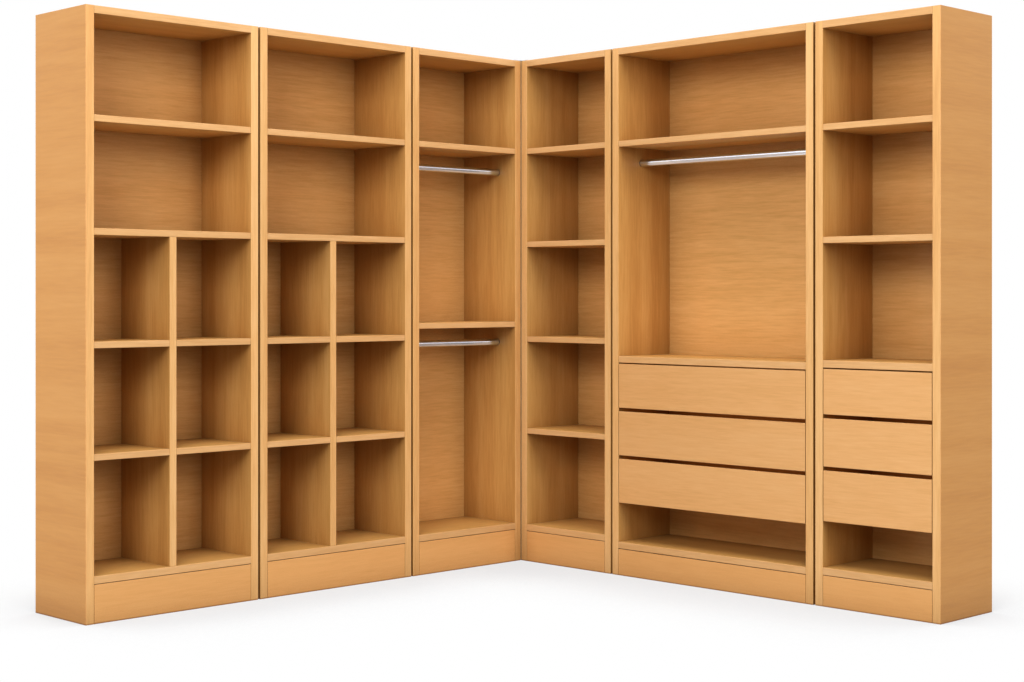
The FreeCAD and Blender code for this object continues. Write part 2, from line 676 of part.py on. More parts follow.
def put_run(run, bays, start):
    """Adds a run of bays and what joins them, from its left end to its right end."""
    left = run == "left"
    for place, bay in enumerate(bays):
        placement = run_placement(left, start)
        last = place == len(bays) - 1
        put_bay(bay, run, placement, bolted_left=place > 0, bolted_right=not last)
        if not last:
            seam = bay.width + BAY_GAP / 2
            put("joining_bolts", joining_bolt(seam), placement)
            put("joining_plates", joining_plates(seam), placement)
        start += bay.width + BAY_GAP


put_run("left", LEFT_RUN, LEFT_START)
put_run("right", RIGHT_RUN, RIGHT_START)
corner = FreeCAD.Placement(Vector(-CENTRE_X, -CENTRE_Y, 0), FreeCAD.Rotation())
put("corner_post", [corner_post()], corner)
put("joining_plates", [corner_plate()], corner)

os.makedirs("parts", exist_ok=True)
for node, solids in nodes.items():
    shape = solids[0] if len(solids) == 1 else Part.makeCompound(solids)
    shape.exportStep(f"parts/{node}.step")
print(len(nodes), "nodes,", sum(len(solids) for solids in nodes.values()), "solids")
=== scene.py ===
"""Looks of the open corner wardrobe: finishes, screw heads, studio and camera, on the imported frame."""

import logging
import math
from dataclasses import dataclass, field
from enum import Enum
from typing import Optional, Sequence, Union

import bmesh
import bpy
from mathutils import Matrix, Vector


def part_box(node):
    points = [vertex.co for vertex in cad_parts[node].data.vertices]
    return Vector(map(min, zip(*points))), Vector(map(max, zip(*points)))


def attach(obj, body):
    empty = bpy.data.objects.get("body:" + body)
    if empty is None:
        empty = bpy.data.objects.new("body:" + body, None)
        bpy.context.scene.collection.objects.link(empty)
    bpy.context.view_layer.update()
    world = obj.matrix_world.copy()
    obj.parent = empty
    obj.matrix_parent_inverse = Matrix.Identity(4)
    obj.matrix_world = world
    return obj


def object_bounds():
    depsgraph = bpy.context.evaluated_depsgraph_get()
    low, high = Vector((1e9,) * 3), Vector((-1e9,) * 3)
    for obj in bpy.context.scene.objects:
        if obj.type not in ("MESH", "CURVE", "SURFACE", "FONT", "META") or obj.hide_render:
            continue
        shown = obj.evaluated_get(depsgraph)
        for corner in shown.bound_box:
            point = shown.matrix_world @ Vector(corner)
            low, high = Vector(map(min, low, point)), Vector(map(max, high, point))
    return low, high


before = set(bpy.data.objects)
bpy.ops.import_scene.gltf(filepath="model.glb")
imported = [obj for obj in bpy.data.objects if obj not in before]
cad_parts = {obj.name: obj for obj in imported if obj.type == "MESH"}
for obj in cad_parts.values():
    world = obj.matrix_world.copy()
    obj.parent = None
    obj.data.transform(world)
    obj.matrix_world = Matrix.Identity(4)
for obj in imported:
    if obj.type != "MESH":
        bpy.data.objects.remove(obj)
CAD_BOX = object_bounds()

MM = 0.001
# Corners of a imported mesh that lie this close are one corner
WELD = 0.01 * MM
# How deep an end face's own veneer reaches into its board
SKIN_DEPTH = 2.0 * MM
log = logging.getLogger("corner_wardrobe")

Colour = tuple[float, float, float]
Triple = tuple[float, float, float]
Socket = bpy.types.NodeSocket
Value = Union[float, Triple, Socket]
Box = tuple[Vector, Vector]

NO_TINT: Colour = (1.0, 1.0, 1.0)
UP: Triple = (0.0, 0.0, 1.0)


class Axis(Enum):
    """The three directions of the shared frame, by their place in a vector."""

    X = 0
    Y = 1
    Z = 2


class Run(Enum):
    """The two runs of bays. The value is the way their fronts face."""

    LEFT = (1.0, 0.0, 0.0)
    RIGHT = (0.0, -1.0, 0.0)

    @property
    def along(self) -> Axis:
        """The direction in which the run's bays follow each other."""
        return Axis.Y if self is Run.LEFT else Axis.X


class Grain(Enum):
    """How the veneer's grain lies on a board."""

    LEVEL = "level"
    UPRIGHT = "upright"

    def axis(self, run: Run) -> Axis:
        """The direction of the grain on a board of the given run."""
        return Axis.Z if self is Grain.UPRIGHT else run.along


class Graph:
    """Node tree of one material, with short ways to add and join nodes."""

    def __init__(self, name: str) -> None:
        """Starts an empty material.

        Args:
            name: Name of the material.
        """
        self.material = bpy.data.materials.new(name)
        self.material.use_nodes = True
        self.tree = self.material.node_tree
        self.tree.nodes.clear()
        self.output = self.node("ShaderNodeOutputMaterial")

    def node(self, kind: str, **settings: object) -> bpy.types.Node:
        """Adds a node.

        Args:
            kind: Blender's type name of the node.
            settings: Properties of the node.

        Returns:
            The new node.
        """
        made = self.tree.nodes.new(kind)
        for name, value in settings.items():
            setattr(made, name, value)
        return made

    def feed(self, socket: Socket, value: Value) -> None:
        """Links a socket to another one, or sets its own value."""
        if isinstance(value, bpy.types.NodeSocket):
            self.tree.links.new(value, socket)
        else:
            socket.default_value = value

    def math(self, operation: str, first: Value, second: Value = 0.0, clamp: bool = False) -> Socket:
        """Adds a Math node.

        Args:
            operation: Name of the operation.
            first: First operand.
            second: Second operand.
            clamp: Whether the result stays between 0 and 1.

        Returns:
            The result.
        """
        made = self.node("ShaderNodeMath", operation=operation, use_clamp=clamp)
        self.feed(made.inputs[0], first)
        self.feed(made.inputs[1], second)
        return made.outputs[0]

    def vector(self, operation: str, first: Value, second: Value) -> Socket:
        """Adds a Vector Math node.

        Args:
            operation: Name of the operation.
            first: First operand.
            second: Second operand.

        Returns:
            The result, a number for a dot product and else a vector.
        """
        made = self.node("ShaderNodeVectorMath", operation=operation)
        self.feed(made.inputs[0], first)
        self.feed(made.inputs[1], second)
        return made.outputs["Value" if operation == "DOT_PRODUCT" else "Vector"]

    def place(self) -> Socket:
        """Places in the piece's own space, in metres."""
        return self.node("ShaderNodeTexCoord").outputs["Object"]

    def split(self, place: Socket) -> Sequence[Socket]:
        """The three numbers of a vector."""
        made = self.node("ShaderNodeSeparateXYZ")
        self.feed(made.inputs[0], place)
        return made.outputs

    def join(self, numbers: Sequence[Value]) -> Socket:
        """The vector of three numbers."""
        made = self.node("ShaderNodeCombineXYZ")
        for socket, number in zip(made.inputs, numbers):
            self.feed(socket, number)
        return made.outputs[0]

    def facing(self, direction: Triple) -> Socket:
        """How far a face looks in a direction, from -1 to 1."""
        outwards = self.node("ShaderNodeNewGeometry").outputs["True Normal"]
        return self.vector("DOT_PRODUCT", outwards, direction)

    def noise(self, place: Value, detail: float = 2.0, roughness: float = 0.5) -> Socket:
        """Adds a noise of unit scale.

        Args:
            place: Where the noise is read.
            detail: Number of finer layers.
            roughness: Weight of the finer layers.

        Returns:
            The noise's value, about 0.5 on average.
        """
        made = self.node("ShaderNodeTexNoise")
        self.feed(made.inputs["Vector"], place)
        made.inputs["Scale"].default_value = 1.0
        made.inputs["Detail"].default_value = detail
        made.inputs["Roughness"].default_value = roughness
        return made.outputs["Fac"]

    def spread(self, value: Socket, low: float, high: float, to_low: float, to_high: float) -> Socket:
        """Carries a range of values over to another range, and clamps to it.

        Args:
            value: The value to carry over.
            low: Start of its range.
            high: End of its range.
            to_low: Start of the new range.
            to_high: End of the new range.

        Returns:
            The new value.
        """
        made = self.node("ShaderNodeMapRange")
        for socket, number in zip(made.inputs, (value, low, high, to_low, to_high)):
            self.feed(socket, number)
        return made.outputs[0]

    def mix(self, share: Value, first: Value, second: Value, blend: str = "MIX") -> Socket:
        """Mixes two colours.

        Args:
            share: Share of the second colour.
            first: First colour.
            second: Second colour.
            blend: Way of mixing.

        Returns:
            The mixed colour.
        """
        made = self.node("ShaderNodeMix", data_type="RGBA", blend_type=blend)
        self.feed(made.inputs[0], share)
        self.feed(made.inputs[6], first if isinstance(first, bpy.types.NodeSocket) else (*first, 1.0))
        self.feed(made.inputs[7], second if isinstance(second, bpy.types.NodeSocket) else (*second, 1.0))
        return made.outputs[2]

    def tinted(self, share: Value, colour: Socket, tint: Colour) -> Socket:
        """The colour, multiplied by a tint in a share of places."""
        return self.mix(share, colour, self.mix(1.0, colour, tint, "MULTIPLY"))

    def mix_places(self, share: Value, first: Socket, second: Socket) -> Socket:
        """Mixes two vectors by a share of the second one."""
        made = self.node("ShaderNodeMix", data_type="VECTOR")
        self.feed(made.inputs[0], share)
        self.feed(made.inputs[4], first)
        self.feed(made.inputs[5], second)
        return made.outputs[1]

    def mix_shaders(self, share: Value, first: bpy.types.Node, second: bpy.types.Node) -> bpy.types.Node:
        """Mixes two shaders by a share of the second one."""
        made = self.node("ShaderNodeMixShader")
        for socket, value in zip(made.inputs, (share, first.outputs[0], second.outputs[0])):
            self.feed(socket, value)
        return made

    def ramp(self, value: Socket, stops: Sequence[tuple[float, Colour]]) -> Socket:
        """Colours a value.

        Args:
            value: The value, from 0 to 1.
            stops: Places along the ramp with their colours.

        Returns:
            The colour.
        """
        made = self.node("ShaderNodeValToRGB")
        elements = made.color_ramp.elements
        while len(elements) < len(stops):
            elements.new(0.5)
        for element, (place, colour) in zip(elements, stops):
            element.position = place
            element.color = (*colour, 1.0)
        self.feed(made.inputs[0], value)
        return made.outputs[0]

    def bump(self, height: Socket, depth: float, strength: float) -> Socket:
        """Turns a height into a shading normal.

        Args:
            height: Height from 0 to 1.
            depth: What a height of 1 stands for, in metres.
            strength: Share of the effect.

        Returns:
            The normal.
        """
        made = self.node("ShaderNodeBump")
        made.inputs["Strength"].default_value = strength
        made.inputs["Distance"].default_value = depth
        self.feed(made.inputs["Height"], height)
        return made.outputs["Normal"]

    def surface(self, **inputs: Value) -> bpy.types.Material:
        """Ends the tree with a Principled shader.

        Args:
            inputs: Its inputs, with underscores for spaces.

        Returns:
            The finished material.
        """
        shader = self.node("ShaderNodeBsdfPrincipled")
        for name, value in inputs.items():
            self.feed(shader.inputs[name.replace("_", " ")], value)
        self.tree.links.new(shader.outputs[0], self.output.inputs["Surface"])
        return self.material


@dataclass(frozen=True)
class EndSkin:
    """The outer face of a run's free end, whose veneer lies level on an upright board."""

    axis: Axis
    sign: float
    beyond: float

    def mask(self, graph: Graph) -> Socket:
        """1 on the outer face and 0 elsewhere."""
        reach = graph.math("MULTIPLY", graph.split(graph.place())[self.axis.value], self.sign)
        return graph.math("GREATER_THAN", reach, self.beyond)


@dataclass(frozen=True)
class Veneer:
    """A sliced veneer under satin lacquer, with the grain drawn through the board's own space."""

    name: str
    dark: Colour
    middle: Colour
    pale: Colour
    edge_tint: Colour = NO_TINT
    end_tint: Colour = NO_TINT
    band_weight: float = 0.50
    streak_weight: float = 0.55
    fibre_weight: float = 0.45
    board_spread: float = 0.035
    fleck_depth: float = 0.10
    gloss_low: float = 0.42
    gloss_high: float = 0.56
    lacquer: float = 0.02
    # How far from a corner the painted shade reaches, in metres
    corner_reach: float = 0.11
    # How far the look out for such corners leans up, where more light comes from
    sky_lean: float = 0.2
    # Tint of the painted shade on faces that look up
    painted_top_shade: Colour = NO_TINT

    # Repeats per metre along and across the grain
    BANDS = (0.45, 14.0)
    STREAKS = (7.0, 105.0)
    FIBRES = (16.0, 380.0)
    FLECKS = (160.0, 1300.0)
    # Painted shade: tints in a gap, in a corner and on open boards, by how open the board is
    CORNER_SHADE_TINTS = ((0.04, (0.40, 0.22, 0.08)), (0.22, (0.49, 0.44, 0.35)), (0.92, NO_TINT))
    # Height of the painted contact shadow along the floor on a board that stands on it, in metres, and its
    # tint
    FLOOR_SHADOW_LINE = 0.006
    FLOOR_SHADOW_TINT = (0.60, 0.50, 0.40)
    # Level above which a face that looks up has no sheen, in metres
    ROOF_LEVEL = 2.19
    # How far the grain sways to the side, in metres
    SWAY = 0.005
    # Share of the grain's strength that the calmer end faces keep
    END_CALM = 0.55
    # How far the grain is shifted on a board whose number is 1, in metres
    BOARD_SHIFT = (7.3, 4.1, 5.7)
    # Repeats per metre of the slow sway, along and across the grain
    WAVES = (1.1, 3.2)
    # Places of the dark, middle and pale colours among the grain's tones
    TONE_STOPS = (0.28, 0.5, 0.74)
    # Noise at which a fleck starts, and at which it is full
    FLECK_RANGE = (0.60, 0.72)
    # Fibre noise between which the gloss goes from low to high
    FIBRE_RANGE = (0.3, 0.7)
    # How squarely a face looks to the front, to a side or up to count as such
    FRONT_FACING = 0.6
    UP_FACING = 0.8
    # Sheen of the board and roughness of its lacquer
    SHEEN = 0.22
    LACQUER_ROUGHNESS = 0.30
    # Depth of the grain's relief in metres, its strength, and the shares of streaks and fibres in it
    RELIEF = 0.0004
    RELIEF_STRENGTH = 0.35
    RELIEF_SHARES = (0.4, 0.6)

    def material(self, run: Run, grain: Grain, skin: Optional[EndSkin] = None) -> bpy.types.Material:
        """Makes, or finds, the veneer for boards of one run and one lie of the grain.

        Args:
            run: The run that the boards belong to.
            grain: The lie of the grain.
            skin: The outer face with level grain, if the boards have one.

        Returns:
            The material.
        """
        name = f"{self.name}_{run.name.lower()}_{grain.value}" + ("_end" if skin else "")
        if name in bpy.data.materials:
            return bpy.data.materials[name]
        graph = Graph(name)
        mask = skin.mask(graph) if skin else None
        place, chance = self.board_space(graph, grain.axis(run), run, mask)
        return self.finish(graph, place, chance, grain.axis(run), run.value, mask)

    def board_space(self, graph: Graph, along: Axis, run: Run,
                    mask: Optional[Socket]) -> tuple[Socket, Socket]:
        """Places on the board, shifted by a random amount per board and gently wavy.

        Args:
            graph: The material's tree.
            along: The grain's direction.
            run: The run that the boards belong to.
            mask: 1 on an outer face with level grain, if the boards have one.

        Returns:
            The places and the board's random number.
        """
        chance = graph.node("ShaderNodeAttribute", attribute_name=BoardNumbers.ATTRIBUTE).outputs["Fac"]
        shift = graph.join([graph.math("MULTIPLY", chance, reach) for reach in self.BOARD_SHIFT])
        moved = graph.vector("ADD", graph.place(), shift)
        if mask:
            moved = graph.mix_places(mask, moved, self.turned(graph, moved, run))
        wave = graph.node("ShaderNodeTexNoise")
        graph.feed(wave.inputs["Vector"], graph.vector("MULTIPLY", moved, self.stretch(along, self.WAVES)))
        wave.inputs["Scale"].default_value = 1.0
        wave.inputs["Detail"].default_value = 1.0
        sway = graph.vector("MULTIPLY", wave.outputs["Color"], (self.SWAY,) * 3)
        return graph.vector("ADD", moved, sway), chance

    @staticmethod
    def turned(graph: Graph, place: Socket, run: Run) -> Socket:
        """Places with height and depth swapped, so that upright grain lies level on an end face."""
        x, y, z = graph.split(place)
        return graph.join((z, y, x) if run is Run.LEFT else (x, z, y))

    @staticmethod
    def stretch(along: Axis, repeats: tuple[float, float]) -> Triple:
        """Repeats per metre in each direction, for a pattern along and across the grain."""
        return tuple(repeats[0] if axis is along else repeats[1] for axis in Axis)

    def layer(self, graph: Graph, place: Socket, along: Axis, repeats: tuple[float, float],
              detail: float) -> Socket:
        """One noise layer drawn out along the grain."""
        return graph.noise(graph.vector("MULTIPLY", place, self.stretch(along, repeats)), detail)

    def finish(self, graph: Graph, place: Socket, chance: Socket, along: Axis, front: Triple,
               mask: Optional[Socket] = None) -> bpy.types.Material:
        """Colours the grain and ends the material.

        Args:
            graph: The material's tree.
            place: Places on the board.
            chance: The board's random number.
            along: The grain's direction.
            front: The way the fronts face, where the edge band shows.
            mask: 1 on an outer face with level grain, if the boards have one.

        Returns:
            The finished material.
        """
        bands = self.layer(graph, place, along, self.BANDS, 1.0)
        streaks = self.layer(graph, place, along, self.STREAKS, 2.0)
        fibres = self.layer(graph, place, along, self.FIBRES, 2.0)
        tone = graph.math("MULTIPLY", graph.math("SUBTRACT", bands, 0.5), self.band_weight)
        for layer, weight in ((streaks, self.streak_weight), (fibres, self.fibre_weight)):
            share = graph.math("MULTIPLY", graph.math("SUBTRACT", layer, 0.5), weight)
            tone = graph.math("ADD", tone, share)
        if mask:
            tone = graph.math("MULTIPLY", tone, graph.spread(mask, 0.0, 1.0, 1.0, self.END_CALM))
        tone = graph.math("ADD", tone, 0.5, clamp=True)
        colour = graph.ramp(tone, tuple(zip(self.TONE_STOPS, (self.dark, self.middle, self.pale))))
        specks = self.layer(graph, place, along, self.FLECKS, 0.0)
        colour = graph.mix(graph.spread(specks, *self.FLECK_RANGE, 0.0, self.fleck_depth), colour, self.dark)
        board = graph.spread(chance, 0.0, 1.0, 1.0 - self.board_spread, 1.0 + self.board_spread)
        grey = graph.node("ShaderNodeCombineColor")
        for socket in grey.inputs:
            graph.feed(socket, board)
        colour = graph.mix(1.0, colour, grey.outputs[0], "MULTIPLY")
        if mask:
            colour = graph.tinted(mask, colour, self.end_tint)
        if self.edge_tint != NO_TINT:
            edge = graph.math("GREATER_THAN", graph.facing(front), self.FRONT_FACING)
            colour = graph.tinted(edge, colour, self.edge_tint)
        height = graph.math("ADD", *(graph.math("MULTIPLY", layer, share)
                                     for layer, share in zip((streaks, fibres), self.RELIEF_SHARES)))
        upward = graph.math("GREATER_THAN", graph.facing(UP), self.UP_FACING)
        level = graph.split(graph.place())[Axis.Z.value]
        roof = graph.math("MULTIPLY", upward, graph.math("GREATER_THAN", level, self.ROOF_LEVEL))
        return graph.surface(
            Base_Color=self.with_painted_shade(graph, colour, level, upward),
            Roughness=graph.spread(fibres, *self.FIBRE_RANGE, self.gloss_low, self.gloss_high),
            Specular_IOR_Level=graph.spread(roof, 0.0, 1.0, self.SHEEN, 0.0),
            Coat_Weight=self.lacquer,
            Coat_Roughness=self.LACQUER_ROUGHNESS,
            Normal=graph.bump(height, self.RELIEF, self.RELIEF_STRENGTH))

    def with_painted_shade(self, graph: Graph, colour: Socket, level: Socket, upward: Socket) -> Socket:
        """Paints shade into the colour in corners, in narrow gaps, along the floor and on faces that look
        up.

        Args:
            graph: The material's tree.
            colour: The colour of the clean board.
            level: Height above the floor.
            upward: 1 on faces that look up.

        Returns:
            The colour, with painted shade where boards meet, in narrow gaps, along the floor and on top.
        """
        # Painted contact shadow: the board darkens at its foot where it meets the floor
        clear = graph.spread(level, 0.5 * self.FLOOR_SHADOW_LINE, self.FLOOR_SHADOW_LINE, 0.0, 1.0)
        colour = graph.mix(clear, graph.mix(1.0, colour, self.FLOOR_SHADOW_TINT, "MULTIPLY"), colour)
        # Painted shade: faces that look up are darkened
        if self.painted_top_shade != NO_TINT:
            colour = graph.tinted(upward, colour, self.painted_top_shade)
        # Painted shade in corners and narrow gaps, from how open each point is
        near = graph.node("ShaderNodeAmbientOcclusion", samples=4)
        near.inputs["Distance"].default_value = self.corner_reach
        outwards = graph.node("ShaderNodeNewGeometry").outputs["True Normal"]
        leaning = graph.vector("ADD", outwards, (0.0, 0.0, self.sky_lean))
        graph.feed(near.inputs["Normal"], graph.vector("NORMALIZE", leaning, (0.0, 0.0, 0.0)))
        return graph.mix(1.0, colour, graph.ramp(near.outputs["AO"], self.CORNER_SHADE_TINTS), "MULTIPLY")


@dataclass(frozen=True)
class PaleBoard(Veneer):
    """Pale board for drawer boxes and hidden timbers: the grain follows each piece of the box."""

    def material(self, run: Run, grain: Grain, skin: Optional[EndSkin] = None) -> bpy.types.Material:
        """Makes, or finds, the board. The grain of faces that look sideways runs front to back."""
        name = f"{self.name}_{grain.value}"
        if name in bpy.data.materials:
            return bpy.data.materials[name]
        graph = Graph(name)
        place, chance = self.board_space(graph, grain.axis(run), run, None)
        if grain is Grain.LEVEL:
            facing = graph.math("ABSOLUTE", graph.facing((1.0, 0.0, 0.0)))
            sideways = graph.math("GREATER_THAN", facing, self.FRONT_FACING)
            x, y, z = graph.split(place)
            place = graph.mix_places(sideways, place, graph.join((y, x, z)))
        return self.finish(graph, place, chance, grain.axis(run), run.value)


@dataclass(frozen=True)
class PlatedMetal:
    """Plated steel: satin chrome or zinc with a faint grain and handling marks."""

    name: str
    colour: Colour
    shade: Colour
    gloss_low: float
    gloss_high: float
    mark_repeats: float
    bump_depth: float

    # Repeats per metre of the haze
    HAZE = 18.0
    # Places of the shade and the colour among the tones, and the tones that the gloss follows
    TONE_STOPS = (0.36, 0.62)
    GLOSS_RANGE = (0.35, 0.65)
    RELIEF_STRENGTH = 0.25

    def material(self) -> bpy.types.Material:
        """Makes, or finds, the metal."""
        name = f"{self.name}_finish"
        if name in bpy.data.materials:
            return bpy.data.materials[name]
        graph = Graph(name)
        place = graph.place()
        marks = graph.noise(graph.vector("MULTIPLY", place, (self.mark_repeats,) * 3), 3.0, 0.6)
        haze = graph.noise(graph.vector("MULTIPLY", place, (self.HAZE,) * 3), 2.0)
        both = graph.math("MULTIPLY", graph.math("ADD", marks, haze), 0.5)
        return graph.surface(
            Base_Color=graph.ramp(both, tuple(zip(self.TONE_STOPS, (self.shade, self.colour)))),
            Metallic=1.0,
            Roughness=graph.spread(both, *self.GLOSS_RANGE, self.gloss_low, self.gloss_high),
            Normal=graph.bump(marks, self.bump_depth, self.RELIEF_STRENGTH))


@dataclass(frozen=True)
class MouldedPlastic:
    """Moulded plastic with a fine matt texture."""

    name: str
    colour: Colour
    shade: Colour

    # Repeats per metre of the moulded texture and of the cloudy tone
    TEXTURE = 1800.0
    CLOUDS = 60.0
    # Places of the shade and the colour among the tones
    TONE_STOPS = (0.35, 0.65)
    # Texture noise between which the roughness goes from its low to its high value
    TEXTURE_RANGE = (0.3, 0.7)
    ROUGHNESS = (0.42, 0.60)
    SHEEN = 0.45
    # Depth of the texture in metres, and its strength
    RELIEF = 0.00005
    RELIEF_STRENGTH = 0.5

    def material(self) -> bpy.types.Material:
        """Makes, or finds, the plastic."""
        name = f"{self.name}_finish"
        if name in bpy.data.materials:
            return bpy.data.materials[name]
        graph = Graph(name)
        place = graph.place()
        texture = graph.noise(graph.vector("MULTIPLY", place, (self.TEXTURE,) * 3), 1.0)
        cloud = graph.noise(graph.vector("MULTIPLY", place, (self.CLOUDS,) * 3), 2.0)
        return graph.surface(
            Base_Color=graph.ramp(cloud, tuple(zip(self.TONE_STOPS, (self.shade, self.colour)))),
            Roughness=graph.spread(texture, *self.TEXTURE_RANGE, *self.ROUGHNESS),
            Specular_IOR_Level=self.SHEEN,
            Normal=graph.bump(texture, self.RELIEF, self.RELIEF_STRENGTH))


CARCASS = Veneer("carcass_veneer", (0.594, 0.286, 0.074), (0.674, 0.348, 0.097), (0.735, 0.403, 0.127),
                 edge_tint=(1.248, 1.333, 1.762), end_tint=(0.962, 0.863, 0.825),
                 band_weight=0.85, fibre_weight=0.34, corner_reach=0.20)
SHELF = Veneer("shelf_veneer", (0.565, 0.283, 0.073), (0.642, 0.343, 0.096), (0.704, 0.399, 0.127),
               edge_tint=(1.209, 1.273, 1.855), band_weight=0.35, streak_weight=0.42,
               fibre_weight=0.36, corner_reach=0.13, painted_top_shade=(0.86, 0.84, 0.83))
BACK = Veneer("back_veneer", (0.782, 0.407, 0.124), (0.874, 0.477, 0.161), (0.945, 0.547, 0.205),
              board_spread=0.02, band_weight=0.35, streak_weight=0.62, corner_reach=0.20, sky_lean=0.45)
PLINTH = Veneer("plinth_veneer", (0.736, 0.352, 0.106), (0.818, 0.413, 0.140), (0.872, 0.473, 0.177),
                board_spread=0.015, band_weight=0.16, streak_weight=0.26, fibre_weight=0.26)
FRONT = Veneer("drawer_front_veneer", (0.735, 0.372, 0.123), (0.816, 0.433, 0.163), (0.866, 0.496, 0.206),
               board_spread=0.015, band_weight=0.24, streak_weight=0.40, fibre_weight=0.36)
BOX_BOARD = PaleBoard("drawer_box_wood", (0.60, 0.42, 0.23), (0.69, 0.51, 0.30), (0.76, 0.59, 0.38))
TIMBER = PaleBoard("bare_timber", (0.54, 0.36, 0.18), (0.66, 0.48, 0.27), (0.74, 0.57, 0.35),
                   streak_weight=0.9, gloss_low=0.62, gloss_high=0.78, lacquer=0.0)
CHROME = PlatedMetal("rail_chrome", (0.70, 0.79, 0.88), (0.64, 0.73, 0.82), 0.14, 0.20, 220.0, 2e-5)
ZINC = PlatedMetal("zinc_steel", (0.42, 0.43, 0.45), (0.30, 0.31, 0.33), 0.32, 0.46, 140.0, 5e-5)
PLUG = MouldedPlastic("plug_plastic", (0.050, 0.050, 0.055), (0.030, 0.030, 0.034))


class BoardNumbers:
    """A number from 0 to 1 for each separate board of a node, by which its veneer differs from others."""

    ATTRIBUTE = "board_number"
    GROUP = "board_numbers"
    # Seeds stay below this number
    SEEDS = 9973

    @classmethod
    def group(cls) -> bpy.types.NodeTree:
        """Makes, or finds, the node group that draws the numbers.

        Returns:
            The group, with a seed as its second input.
        """
        if cls.GROUP in bpy.data.node_groups:
            return bpy.data.node_groups[cls.GROUP]
        tree = bpy.data.node_groups.new(cls.GROUP, "GeometryNodeTree")
        tree.interface.new_socket("Geometry", in_out="INPUT", socket_type="NodeSocketGeometry")
        tree.interface.new_socket("Seed", in_out="INPUT", socket_type="NodeSocketInt")
        tree.interface.new_socket("Geometry", in_out="OUTPUT", socket_type="NodeSocketGeometry")
        source, target = tree.nodes.new("NodeGroupInput"), tree.nodes.new("NodeGroupOutput")
        island = tree.nodes.new("GeometryNodeInputMeshIsland")
        draw = tree.nodes.new("FunctionNodeRandomValue")
        draw.data_type = "FLOAT"
        store = tree.nodes.new("GeometryNodeStoreNamedAttribute")
        store.data_type = "FLOAT"
        store.domain = "FACE"
        store.inputs["Name"].default_value = cls.ATTRIBUTE
        numbers = next(socket for socket in store.inputs if socket.name == "Value" and socket.enabled)
        drawn = next(socket for socket in draw.outputs if socket.enabled)
        for start, end in ((source.outputs["Geometry"], store.inputs["Geometry"]),
                           (island.outputs["Island Index"], draw.inputs["ID"]),
                           (source.outputs["Seed"], draw.inputs["Seed"]),
                           (drawn, numbers), (store.outputs["Geometry"], target.inputs["Geometry"])):
            tree.links.new(start, end)
        return tree

    @classmethod
    def give(cls, node: bpy.types.Object) -> None:
        """Adds the numbers to a node, with a seed drawn from its name."""
        group = cls.group()
        modifier = node.modifiers.new("board_numbers", "NODES")
        modifier.node_group = group
        seed = next(item for item in group.interface.items_tree if item.name == "Seed")
        total = sum(place * ord(letter) for place, letter in enumerate(node.name, 1))
        modifier[seed.identifier] = total % cls.SEEDS


@dataclass(frozen=True)
class BoardEdges:
    """The fine rounding that sanding leaves on every arris of a board."""

    radius: float = 0.6 * MM
    segments: int = 2
    weld: float = WELD
    sharp_angle: float = math.radians(40.0)

    def soften(self, node: bpy.types.Object) -> None:
        """Joins the split corners of a packed board and rounds its arrises."""
        weld = node.modifiers.new("joined_corners", "WELD")
        weld.merge_threshold = self.weld
        rounding = node.modifiers.new("sanded_arris", "BEVEL")
        rounding.width = self.radius
        rounding.segments = self.segments
        rounding.limit_method = "ANGLE"
        rounding.angle_limit = self.sharp_angle
        rounding.use_clamp_overlap = False
        BoardNumbers.give(node)


def dress(node: str, material: bpy.types.Material, edges: Optional[BoardEdges] = None) -> None:
    """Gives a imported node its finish.

    Args:
        node: Name of the node.
        material: Its material.
        edges: How its arrises are rounded, for a board.
    """
    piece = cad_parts[node]
    piece.data.materials.clear()
    piece.data.materials.append(material)
    if edges:
        edges.soften(piece)
    log.info("dressed %s with %s", node, material.name)


def solids_of(node: str) -> list[Box]:
    """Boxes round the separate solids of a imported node.

    Args:
        node: Name of the node.

    Returns:
        Lowest and highest corner of each solid.
    """
    mesh = bmesh.new()
    mesh.from_mesh(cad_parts[node].data)
    bmesh.ops.remove_doubles(mesh, verts=mesh.verts, dist=WELD)
    left, boxes = set(mesh.verts), []
    while left:
        group, queue = [], [left.pop()]
        while queue:
            vertex = queue.pop()
            group.append(vertex.co.copy())
            for edge in vertex.link_edges:
                other = edge.other_vert(vertex)
                if other in left:
                    left.remove(other)
                    queue.append(other)
        boxes.append((Vector(map(min, *group)), Vector(map(max, *group))))
    mesh.free()
    return sorted(boxes, key=lambda box: tuple(round(number, 4) for number in (*box[0], *box[1])))


@dataclass
class Bay:
    """One tall bay: its boards, dressed by what each does."""

    name: str
    run: Run
    divided: bool = False
    skin: Optional[EndSkin] = None
    edges: BoardEdges = field(default_factory=BoardEdges)

    def dress(self) -> None:
        """Gives every board of the bay its veneer and soft arrises."""
        upright = CARCASS.material(self.run, Grain.UPRIGHT, self.skin)
        shelf = SHELF.material(self.run, Grain.LEVEL)
        dress(f"{self.name}_side_panels", upright, self.edges)
        dress(f"{self.name}_top", shelf, self.edges)
        dress(f"{self.name}_base", shelf, self.edges)
        dress(f"{self.name}_shelves", shelf, self.edges)
        if self.divided:
            dress(f"{self.name}_divider", CARCASS.material(self.run, Grain.UPRIGHT), self.edges)
            dress(f"{self.name}_cubby_shelves", shelf, self.edges)


@dataclass
class RunBoards:
    """Backs and plinths, which are one node for a whole run."""

    run: Run
    edges: BoardEdges = field(default_factory=BoardEdges)
    plinth_edges: BoardEdges = BoardEdges(1.3 * MM)

    def dress(self) -> None:
        """Gives the run's backs and plinths their level veneer."""
        word = self.run.name.lower()
        dress(f"{word}_run_back_panels", BACK.material(self.run, Grain.LEVEL), self.edges)
        dress(f"{word}_run_plinths", PLINTH.material(self.run, Grain.LEVEL), self.plinth_edges)


